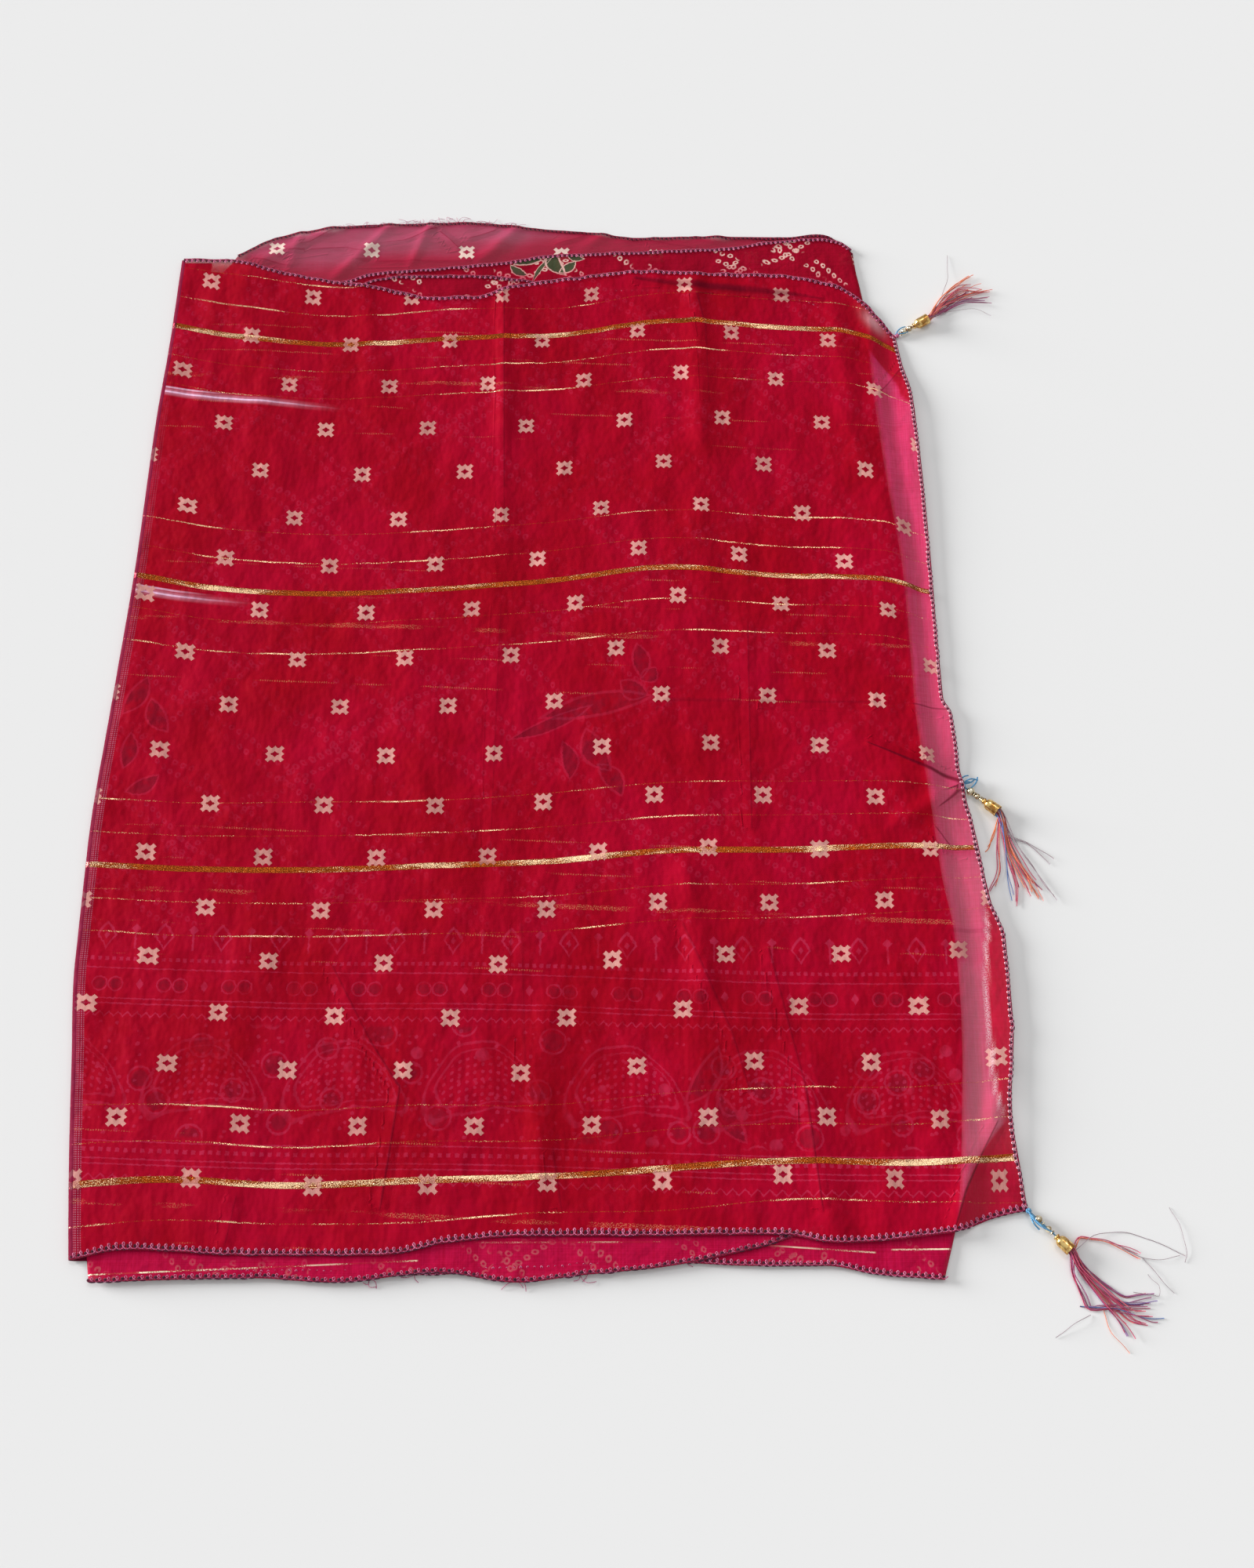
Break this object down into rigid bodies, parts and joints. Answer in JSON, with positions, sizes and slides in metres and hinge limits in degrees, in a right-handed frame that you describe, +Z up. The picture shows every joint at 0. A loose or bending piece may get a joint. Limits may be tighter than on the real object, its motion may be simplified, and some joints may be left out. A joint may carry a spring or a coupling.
{
  "type": "wrap scarf",
  "caption": "Rectangular wrap scarf of sheer printed cloth, folded in four and laid flat, with tassels on capped beaded threads at one end.",
  "frame": {"origin": "bottom centre of the scarf's box, on the surface that it lies on", "axes": "+X along the scarf's length towards its tasselled end, +Y across its width away from the near hem, +Z up"},
  "size_m": [0.8181, 0.9687, 0.011],
  "materials": {
    "crimson_cloth": "sheer crimson cloth with metallic weft stripes",
    "printed_cloth": "sheer crimson cloth with a dotted print",
    "sheer_cloth": "single sheer stretch, pale over a light surface",
    "gold_metal": "bright gold plating",
    "tie_thread": "blue tie thread",
    "tassel_strands": "mixed orange, pink and violet sewing threads"
  },
  "bodies": {
    "root": {"top_panel": "crimson_cloth", "second_layer": "printed_cloth", "inner_fold": "printed_cloth", "back_layer": "sheer_cloth", "tassel_far_thread": "tie_thread", "tassel_far_bead_1": "gold_metal", "tassel_far_bead_2": "gold_metal", "tassel_far_cap": "gold_metal", "tassel_far_strands": "tassel_strands", "tassel_middle_thread": "tie_thread", "tassel_middle_bead_1": "gold_metal", "tassel_middle_bead_2": "gold_metal", "tassel_middle_cap": "gold_metal", "tassel_middle_strands": "tassel_strands", "tassel_near_thread": "tie_thread", "tassel_near_bead_1": "gold_metal", "tassel_near_bead_2": "gold_metal", "tassel_near_cap": "gold_metal", "tassel_near_strands": "tassel_strands"}
  },
  "joints": []
}
